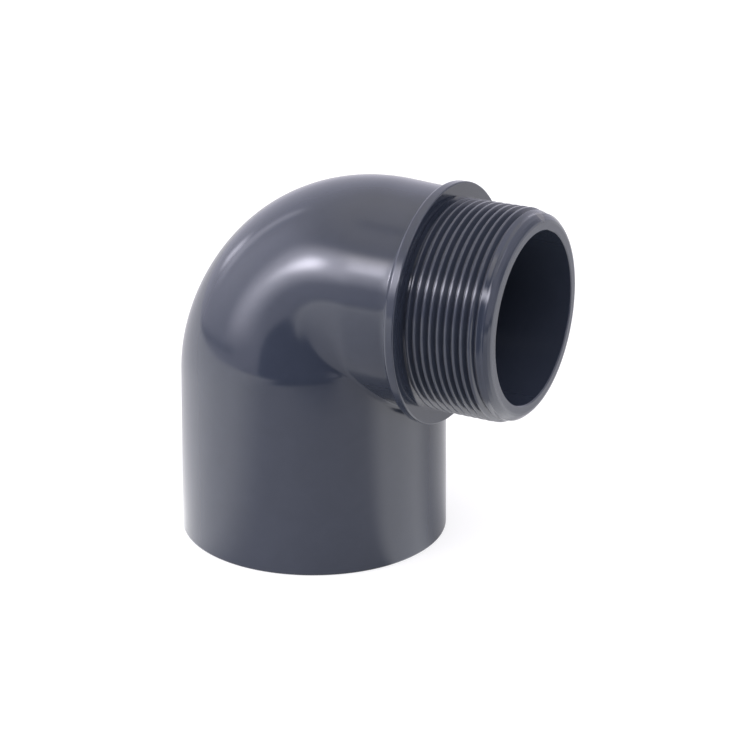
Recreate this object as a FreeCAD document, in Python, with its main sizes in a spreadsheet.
import FreeCAD, Part
import math
import os
import Sketcher

# PVC-U 90 degree elbow for 63 mm pressure pipe.  One end is a solvent-weld
# socket that stands on its mouth, the other is a male G 2 (ISO 228-1) threaded
# spigot behind a plain stop collar.  The fitting is one moulded piece.
#
# Frame: millimetres, +Z up.  The origin is the centre of the socket mouth, the
# resting face.  The socket axis is +Z.  The spigot axis is parallel to +X at
# z = axis_height and points away from the bend.
#
# Every form is built about the point where the two axes cross; the finished
# fitting is lifted by axis_height.

V = FreeCAD.Vector
doc = FreeCAD.newDocument("pvc_elbow_63_x_g2")

# ------------------------------------------------------------------ dimensions
# alias, value in millimetres, what it is
DRIVING = [
    # overall
    ("axis_height", 75.6, "socket mouth to spigot axis"),
    ("spigot_reach", 70.2, "socket axis to spigot end face"),
    # socket leg, outside
    ("socket_outer_r", 39.5, "outer radius at the socket mouth"),
    ("leg_outer_r", 38.8, "outer radius where the bend starts"),
    ("leg_top_z", -30.0, "height at which leg_outer_r applies"),
    ("leg_overrun", 26.0, "height of the untrimmed legs above leg_top_z"),
    ("mouth_edge", 0.7, "edge break around the socket mouth"),
    # horizontal leg between bend and collar, outside
    ("neck_r", 31.8, "outer radius at the bend"),
    ("neck_end_r", 30.95, "outer radius inside the collar"),
    ("neck_axis_z", 0.9, "neck centre above the spigot axis"),
    ("neck_start_x", 12.0, "start of the untrimmed neck"),
    ("neck_end_x", 43.0, "end of the neck form, buried in the collar"),
    # bend
    ("throat_x", 27.7, "where the throat crease begins"),
    ("bend_r", 61.4, "outer bend radius, side view"),
    ("bend_blend", 4.0, "how early the side width narrows round the bend"),
    # collar
    ("collar_r", 34.2, "collar radius"),
    ("collar_back_x", 41.3, "collar face toward the bend"),
    ("collar_face_x", 44.6, "collar face toward the thread"),
    ("collar_edge", 0.7, "rounding of the collar rim"),
    ("collar_foot", 1.3, "foot fillet behind the collar"),
    # male thread, ISO 228-1 G 2
    ("thread_r", 29.807, "major radius"),
    ("thread_root_r", 28.328, "minor radius"),
    ("thread_pitch", 2.309, "pitch, 11 threads per inch"),
    ("thread_start_x", 43.496, "first crest, at the top, buried in the collar"),
    ("thread_run", 25.2, "axial length swept by the ridge"),
    ("ridge_base_r", 28.1, "radius to which the ridge is buried"),
    ("ridge_base_half", 1.081, "half width of the ridge there"),
    ("crest_flank_r", 29.636, "radius where the flank meets the crest round"),
    ("crest_flank_half", 0.2812, "half width there"),
    ("crest_mid_r", 29.772, "crest round, middle point"),
    ("crest_mid_half", 0.145, "half width there"),
    # nose of the spigot
    ("lead_x", 64.9, "start of the thread lead-in cone"),
    ("lead_clearance", 0.02, "gap between crest and cutter at lead_x"),
    ("lead_outer_r", 40.0, "outer radius of the lead-in cutter"),
    ("runout_x", 66.9, "thread root starts to rise to the pilot"),
    ("pilot_x", 67.9, "start of the plain pilot"),
    ("lead_end_x", 72.0, "far end of the lead-in cutter"),
    ("lead_end_r", 26.97, "its inner radius there, on the same cone"),
    ("pilot_r", 28.62, "pilot radius"),
    ("nose_x", 69.0, "start of the nose bevel"),
    ("nose_mid_x", 69.85, "nose bevel, middle"),
    ("nose_mid_r", 27.85, "radius there"),
    ("face_outer_r", 26.95, "outer radius of the flat end face"),
    # waterway
    ("socket_bore_r", 31.6, "solvent socket, radius"),
    ("socket_depth", 38.0, "mouth to pipe stop"),
    ("socket_lead", 0.5, "lead-in chamfer of the socket"),
    ("stop_r", 28.5, "waterway radius above the pipe stop"),
    ("spigot_bore_r", 24.2, "bore radius at the end face"),
    ("spigot_inner_r", 24.9, "bore radius at the bend"),
    ("bore_edge", 0.3, "edge break of the spigot bore"),
    ("water_throat_x", 20.0, "where the inner throat crease begins"),
    ("water_bend_r", 50.0, "outer bend radius of the waterway"),
    ("water_start_x", 6.0, "start of the untrimmed spigot bore"),
    ("water_overrun", 2.0, "waterway form beyond the mouth and end face"),
]
# alias, formula over the aliases above it, what it is; slopes are mm per mm
DERIVED = [
    ("leg_slope", "(socket_outer_r - leg_outer_r) / (axis_height + leg_top_z)",
     "growth of the leg radius downward"),
    ("leg_cap_z", "leg_top_z + leg_overrun", "top of the untrimmed legs"),
    ("leg_cap_r", "leg_outer_r - leg_slope * leg_overrun", "barrel radius there"),
    ("neck_slope", "(neck_end_r - neck_r) / (neck_end_x - throat_x)",
     "growth of the neck radius along +X"),
    ("neck_start_r", "neck_r + neck_slope * (neck_start_x - throat_x)",
     "radius at neck_start_x"),
    ("bore_slope",
     "(spigot_bore_r - spigot_inner_r) / (spigot_reach - water_throat_x)",
     "growth of the bore radius along +X"),
    ("water_start_r",
     "spigot_inner_r + bore_slope * (water_start_x - water_throat_x)",
     "radius at water_start_x"),
    ("bore_end_r",
     "spigot_inner_r + bore_slope * (spigot_reach - bore_edge - water_throat_x)",
     "radius just inside the edge break"),
]

sheet = doc.addObject("Spreadsheet::Sheet", "dims")
sheet.set("A1", "alias")
sheet.set("B1", "millimetres")
sheet.set("C1", "what it is")


def fill_rows(first_row, entries):
    for row, (alias, content, note) in enumerate(entries, first_row):
        sheet.set("A%d" % row, alias)
        sheet.set("B%d" % row, content)
        sheet.set("C%d" % row, note)
        sheet.setAlias("B%d" % row, alias)
        doc.recompute()


fill_rows(2, [(alias, repr(value), note) for alias, value, note in DRIVING])
fill_rows(2 + len(DRIVING), [(alias, "=" + rule, note) for alias, rule, note in DERIVED])


def dim(alias):
    return float(sheet.get(alias))


# ------------------------------------------------------------------ outlines
# A coordinate is text: aliases or numbers joined by " + " and " - ".
def evaluate(text):
    tokens = ["+"] + text.split()
    total = 0.0
    for sign, term in zip(tokens[::2], tokens[1::2]):
        value = dim(term) if term[0].isalpha() else float(term)
        total += -value if sign == "-" else value
    return total


def bind(text):
    """The same coordinate as an expression over the sheet."""
    return " ".join("dims." + term if term[0].isalpha() else term
                    for term in text.split())


def outline(body, name, points):
    """Closed XZ outline of straight edges; every corner is bound to the sheet."""
    sketch = body.newObject("Sketcher::SketchObject", name)
    plane = next(f for f in body.Origin.OriginFeatures if f.Role == "XZ_Plane")
    sketch.AttachmentSupport = [(plane, "")]
    sketch.MapMode = "FlatFace"
    count = len(points)
    corners = [V(evaluate(across), evaluate(up), 0) for across, up in points]
    for i in range(count):
        edge = Part.LineSegment(corners[i], corners[(i + 1) % count])
        sketch.addGeometry(edge, False)
    for i in range(count):
        sketch.addConstraint(Sketcher.Constraint("Coincident", i, 2, (i + 1) % count, 1))
    for i, (across, up) in enumerate(points):
        # kind, text, value, label, sketch axis on which the coordinate is zero
        for kind, text, value, label, zero_axis in (
                ("DistanceX", across, corners[i].x, "px_%d" % i, -2),
                ("DistanceY", up, corners[i].y, "py_%d" % i, -1)):
            if text == "0":
                sketch.addConstraint(
                    Sketcher.Constraint("PointOnObject", i, 1, zero_axis))
                continue
            index = sketch.addConstraint(
                Sketcher.Constraint(kind, -1, 1, i, 1, value))
            sketch.renameConstraint(index, label)
            sketch.setExpression("Constraints." + label, bind(text))
    doc.recompute()
    return sketch


def turned(body_name, name, points, axis):
    """New body holding one full revolution about a sketch axis."""
    body = doc.addObject("PartDesign::Body", body_name)
    sketch = outline(body, name + "_outline", points)
    revolution = body.newObject("PartDesign::Revolution", name)
    revolution.Profile = sketch
    revolution.ReferenceAxis = (sketch, [axis])
    revolution.Angle = 360
    doc.recompute()
    return body, revolution


def cut(name, base, tool):
    result = doc.addObject("Part::Cut", name)
    result.Base = base
    result.Tool = tool
    doc.recompute()
    return result


def fuse(name, shapes):
    result = doc.addObject("Part::MultiFuse", name)
    result.Shapes = shapes
    result.Refine = False
    doc.recompute()
    return result


# ------------------------------------------------------------------ bend form
# The bend is lofted through D-shaped sections that fan about the throat line,
# a short line along Y where the two legs meet inside the bend.  Tilt is the
# angle of a section plane about that line: 0 points to -X, 90 degrees to +Z.
FAN_STEPS = 14                 # section steps from the leg tangent to the neck
RUN_IN = math.radians(9.0)     # how far the fan overlaps each leg
RUN_IN_STEPS = 3
CHORD_GAP = 0.30               # distance of the closing chords from the throat
ROD_R = CHORD_GAP * 1.02       # rod on the throat line that closes the gap
ROD_INSET = 0.25               # rod stops this far inside each throat end
LOFT_DEGREE = 5
TRIM_SIZE = 90.0               # larger than any part of a leg to be trimmed


def bend_sections(leg_r, leg_slope, leg_z, throat_x, neck_r, neck_z, neck_slope,
                  bend_r, blend):
    """Sections (tilt, ellipse centre, radial half axis, side half axis), the
    middle of the throat line and half its length.

    Leg: radius leg_r at height leg_z, growing by leg_slope per mm downward.
    Neck: radius neck_r at throat_x, growing by neck_slope per mm along +X,
    centred at height neck_z.  bend_r: outer radius, tangent to both legs.
    """
    def leg_radius(z):
        return leg_r - leg_slope * (z - leg_z)

    # The throat height at which both legs are equally wide, by iteration.
    throat_z = neck_z - neck_r / 2.0
    for _ in range(60):
        half_squared = leg_radius(throat_z) ** 2 - throat_x * throat_x
        throat_z = neck_z - math.sqrt(neck_r * neck_r - half_squared)
    throat = V(throat_x, 0, throat_z)

    # Side view: leg line and neck line, each a unit normal and a point on it,
    # and the arc of radius bend_r that touches both.
    leg_normal = V(-1, 0, leg_slope).normalize()
    leg_point = V(-leg_r, 0, leg_z)
    neck_normal = V(-neck_slope, 0, 1).normalize()
    neck_point = V(throat_x, 0, neck_z + neck_r)
    leg_offset = leg_normal.dot(leg_point) - bend_r
    neck_offset = neck_normal.dot(neck_point) - bend_r
    determinant = leg_normal.x * neck_normal.z - leg_normal.z * neck_normal.x
    arc_centre = V(
        (leg_offset * neck_normal.z - leg_normal.z * neck_offset) / determinant, 0,
        (leg_normal.x * neck_offset - leg_offset * neck_normal.x) / determinant)

    def tangent_tilt(normal):
        touch = arc_centre + normal * bend_r
        return math.atan2(touch.z - throat.z, throat.x - touch.x)

    def cone_section(tilt, square_term, linear_term):
        side = math.sqrt(linear_term * linear_term / square_term + half_squared)
        return tilt, linear_term / square_term, side / math.sqrt(square_term), side

    def leg_section(tilt):
        cos, sin = math.cos(tilt), math.sin(tilt)
        return cone_section(tilt, cos ** 2 - (leg_slope * sin) ** 2,
                            throat_x * cos - leg_radius(throat_z) * leg_slope * sin)

    def neck_section(tilt):
        cos, sin = math.cos(tilt), math.sin(tilt)
        return cone_section(tilt, sin ** 2 - (neck_slope * cos) ** 2,
                            (neck_z - throat_z) * sin - neck_r * neck_slope * cos)

    start, arc_end, end = tangent_tilt(leg_normal), tangent_tilt(neck_normal), math.pi / 2
    first, last = leg_section(start), neck_section(end)
    steps = range(1, RUN_IN_STEPS + 1)
    sections = [leg_section(start - RUN_IN * k / RUN_IN_STEPS) for k in reversed(steps)]
    sections.append(first)
    from_arc = throat - arc_centre
    for i in range(1, FAN_STEPS):
        tilt = start + (end - start) * i / FAN_STEPS
        outward = V(-math.cos(tilt), 0, math.sin(tilt))
        # reach: throat line to the outer profile, on the arc or the neck line
        if tilt < arc_end:
            along = outward.dot(from_arc)
            reach = -along + math.sqrt(
                along * along - (from_arc.dot(from_arc) - bend_r * bend_r))
        else:
            reach = neck_normal.dot(neck_point - throat) / outward.dot(neck_normal)
        turn = (tilt - start) / (end - start)
        weight = 1 - (1 - turn) ** blend * (1 + blend * turn)
        side = first[3] * (1 - weight) + last[3] * weight
        centre_ratio = math.sqrt(1 - half_squared / (side * side))
        radial = reach / (1 + centre_ratio)
        sections.append((tilt, radial * centre_ratio, radial, side))
    sections.append(last)
    sections += [neck_section(end + RUN_IN * k / RUN_IN_STEPS) for k in steps]
    return sections, throat, math.sqrt(half_squared)


def section_wire(throat, tilt, centre_distance, radial, side):
    """Elliptic arc closed by a chord CHORD_GAP from the throat line."""
    outward, sideways = V(-math.cos(tilt), 0, math.sin(tilt)), V(0, 1, 0)
    centre = throat + outward * centre_distance
    limit = math.acos((CHORD_GAP - centre_distance) / radial)

    def point_at(angle):
        return (centre + outward * (radial * math.cos(angle))
                + sideways * (side * math.sin(angle)))

    ends_and_middle = [point_at(angle) for angle in (-limit, 0.0, limit)]
    if abs(radial - side) < 1e-6:
        arc = Part.Arc(*ends_and_middle).toShape()
    else:
        radial_tip, side_tip = centre + outward * radial, centre + sideways * side
        if radial > side:
            ellipse = Part.Ellipse(radial_tip, side_tip, centre)
        else:
            ellipse = Part.Ellipse(side_tip, radial_tip, centre)
        start, middle, end = (ellipse.parameter(p) for p in ends_and_middle)
        # run the way round that passes the middle point
        if (middle - start) % (2 * math.pi) > (end - start) % (2 * math.pi):
            start, end = end, start
        if end < start:
            end += 2 * math.pi
        arc = Part.ArcOfEllipse(ellipse, start, end).toShape()
    chord = Part.LineSegment(point_at(limit), point_at(-limit)).toShape()
    return Part.Wire(Part.__sortEdges__([arc, chord]))


def bend_solid(name, **form):
    """Lofted bend, its throat rod, the throat middle and the two end tilts."""
    sections, throat, half_length = bend_sections(**form)
    wires = [section_wire(throat, *section) for section in sections]
    bend = doc.addObject("Part::Feature", name)
    bend.Shape = Part.makeLoft(wires, True, False, False, LOFT_DEGREE)
    rod = doc.addObject("Part::Cylinder", name + "_rod")
    rod.Radius = ROD_R
    rod.Height = 2 * (half_length - ROD_INSET)
    rod.Placement = FreeCAD.Placement(
        V(throat.x, half_length - ROD_INSET, throat.z),
        FreeCAD.Rotation(V(1, 0, 0), 90))
    doc.recompute()
    return bend, rod, throat, sections[0][0], sections[-1][0]


def trimmed(name, block_name, leg, throat, angle):
    """Leg without what lies on the bend side of a plane through the throat."""
    block = doc.addObject("Part::Box", block_name)
    block.Length = block.Width = 2 * TRIM_SIZE
    block.Height = TRIM_SIZE
    tilt = FreeCAD.Rotation(V(0, 1, 0), math.degrees(angle))
    block.Placement = FreeCAD.Placement(
        throat - tilt.multVec(V(TRIM_SIZE, TRIM_SIZE, 0)), tilt)
    return cut(name, leg, block)


# ------------------------------------------------------------- threaded spigot
def make_spigot():
    """Collar, thread core, pilot and nose, with the rims of the collar rounded."""
    spigot, core = turned("spigot", "core", [
        ("collar_back_x", "0"),
        ("collar_back_x", "collar_r"),
        ("collar_face_x", "collar_r"),
        ("collar_face_x", "thread_root_r"),
        ("runout_x", "thread_root_r"),
        ("pilot_x", "pilot_r"),
        ("nose_x", "pilot_r"),
        ("nose_mid_x", "nose_mid_r"),
        ("spigot_reach", "face_outer_r"),
        ("spigot_reach", "0"),
    ], "H_Axis")
    faces_x = (dim("collar_back_x"), dim("collar_face_x"))
    rims = []
    for number, edge in enumerate(core.Shape.Edges, 1):
        curve = edge.Curve
        if curve.TypeId == "Part::GeomCircle" and \
                abs(curve.Radius - dim("collar_r")) < 1e-4 and \
                any(abs(curve.Center.x - x) < 1e-4 for x in faces_x):
            rims.append("Edge%d" % number)
    rounding = spigot.newObject("PartDesign::Fillet", "collar_rim")
    rounding.Base = (core, rims)
    rounding.setExpression("Radius", "dims.collar_edge")
    doc.recompute()
    return spigot


def make_ridge():
    """G 2 ridge: 55 degree flanks, faceted crest, right hand, swept from inside
    the collar into the nose and faded out under the lead-in cone."""
    body = doc.addObject("PartDesign::Body", "ridge_form")
    profile = outline(body, "ridge_outline", [
        ("thread_start_x - ridge_base_half", "ridge_base_r"),
        ("thread_start_x - crest_flank_half", "crest_flank_r"),
        ("thread_start_x - crest_mid_half", "crest_mid_r"),
        ("thread_start_x", "thread_r"),
        ("thread_start_x + crest_mid_half", "crest_mid_r"),
        ("thread_start_x + crest_flank_half", "crest_flank_r"),
        ("thread_start_x + ridge_base_half", "ridge_base_r"),
    ])
    path = doc.addObject("Part::Helix", "thread_path")
    path.setExpression("Pitch", "dims.thread_pitch * 1 mm")
    path.setExpression("Height", "dims.thread_run * 1 mm")
    path.setExpression("Radius", "dims.thread_root_r * 1 mm")
    # helix axis along +X, starting at the top
    path.Placement = FreeCAD.Placement(
        V(0, 0, 0),
        FreeCAD.Rotation(V(0, 1, 0), 90) * FreeCAD.Rotation(V(0, 0, 1), 180))
    path.setExpression("Placement.Base.x", "dims.thread_start_x")
    ridge = doc.addObject("Part::Sweep", "ridge")
    ridge.Sections = [profile]
    ridge.Spine = (path, ["Edge1"])
    ridge.Solid = True
    ridge.Frenet = True
    doc.recompute()
    lead, _ = turned("lead_form", "lead", [
        ("lead_x", "thread_r + lead_clearance"),
        ("pilot_x", "pilot_r"),
        ("lead_end_x", "lead_end_r"),
        ("lead_end_x", "lead_outer_r"),
        ("lead_x", "lead_outer_r"),
    ], "H_Axis")
    return cut("ridge_cut", ridge, lead)


# ------------------------------------------------------------- outside
def make_outside():
    """Tapered socket barrel, bend, conical neck and threaded spigot."""
    leg, _ = turned("socket_leg", "barrel", [
        ("0", "0 - axis_height"),
        ("socket_outer_r - mouth_edge", "0 - axis_height"),
        ("socket_outer_r", "0 - axis_height + mouth_edge"),
        ("leg_cap_r", "leg_cap_z"),
        ("0", "leg_cap_z"),
    ], "V_Axis")
    bend, rod, throat, leg_tilt, neck_tilt = bend_solid(
        "bend", leg_r=dim("leg_outer_r"), leg_slope=dim("leg_slope"),
        leg_z=dim("leg_top_z"), throat_x=dim("throat_x"), neck_r=dim("neck_r"),
        neck_z=dim("neck_axis_z"), neck_slope=dim("neck_slope"),
        bend_r=dim("bend_r"), blend=dim("bend_blend"))
    leg_cut = trimmed("leg_cut", "leg_trim", leg, throat, leg_tilt)
    neck, _ = turned("neck_leg", "neck", [
        ("neck_start_x", "0"),
        ("neck_start_x", "neck_start_r"),
        ("neck_end_x", "neck_end_r"),
        ("neck_end_x", "0"),
    ], "H_Axis")
    neck.setExpression("Placement.Base.z", "dims.neck_axis_z")
    neck_cut = trimmed("neck_cut", "neck_trim", neck, throat, neck_tilt + math.pi)
    threaded = fuse("threaded", [make_spigot(), make_ridge()])
    return fuse("outer_form", [leg_cut, bend, rod, neck_cut, threaded])


# ------------------------------------------------------------- waterway
def make_waterway():
    """Socket bore with lead-in and pipe stop, bend, and conical spigot bore."""
    leg, _ = turned("water_leg", "socket_bore", [
        ("0", "0 - axis_height - water_overrun"),
        ("socket_bore_r + socket_lead", "0 - axis_height - water_overrun"),
        ("socket_bore_r + socket_lead", "0 - axis_height"),
        ("socket_bore_r", "0 - axis_height + socket_lead"),
        ("socket_bore_r", "0 - axis_height + socket_depth"),
        ("stop_r", "0 - axis_height + socket_depth"),
        ("stop_r", "leg_cap_z"),
        ("0", "leg_cap_z"),
    ], "V_Axis")
    bend, rod, throat, leg_tilt, out_tilt = bend_solid(
        "water_bend", leg_r=dim("stop_r"), leg_slope=0.0, leg_z=dim("leg_top_z"),
        throat_x=dim("water_throat_x"), neck_r=dim("spigot_inner_r"), neck_z=0.0,
        neck_slope=dim("bore_slope"), bend_r=dim("water_bend_r"),
        blend=dim("bend_blend"))
    leg_cut = trimmed("water_leg_cut", "water_trim", leg, throat, leg_tilt)
    out, _ = turned("water_out", "spigot_bore", [
        ("water_start_x", "0"),
        ("water_start_x", "water_start_r"),
        ("spigot_reach - bore_edge", "bore_end_r"),
        ("spigot_reach", "bore_end_r + bore_edge"),
        ("spigot_reach + water_overrun", "bore_end_r + bore_edge"),
        ("spigot_reach + water_overrun", "0"),
    ], "H_Axis")
    out_cut = trimmed("water_out_cut", "water_out_trim", out, throat, out_tilt + math.pi)
    return fuse("waterway", [leg_cut, bend, rod, out_cut])


# ------------------------------------------------------------- the fitting
MIN_FOOT_LENGTH = 150.0        # the neck outline at the collar is longer than this


def fillet_foot(outside):
    """Fillet the edge where the neck runs into the collar."""
    back_x = dim("collar_back_x")
    edges = []
    for number, edge in enumerate(outside.Shape.Edges, 1):
        box = edge.BoundBox
        if abs(box.XMin - back_x) < 1e-3 and abs(box.XMax - back_x) < 1e-3 and \
                abs(edge.CenterOfMass.z - dim("neck_axis_z")) < 1e-3 and \
                edge.Length > MIN_FOOT_LENGTH:
            edges.append(number)
    assert len(edges) == 1, edges
    fillet = doc.addObject("Part::Fillet", "outer_foot")
    fillet.Base = outside
    fillet.Edges = [(edges[0], dim("collar_foot"), dim("collar_foot"))]
    doc.recompute()
    return fillet


outer_form = make_outside()
waterway = make_waterway()
elbow = cut("elbow_body", fillet_foot(outer_form), waterway)
elbow.setExpression("Placement.Base.z", "dims.axis_height")
doc.recompute()

for item in doc.Objects:
    if "Invalid" in item.State or "Error" in item.State:
        raise RuntimeError("%s: %s" % (item.Name, item.State))
shape = elbow.Shape
if shape.isNull() or not shape.isValid() or len(shape.Solids) != 1:
    raise RuntimeError("elbow_body shape")
os.makedirs("parts", exist_ok=True)
shape.exportStep("parts/elbow_body.step")
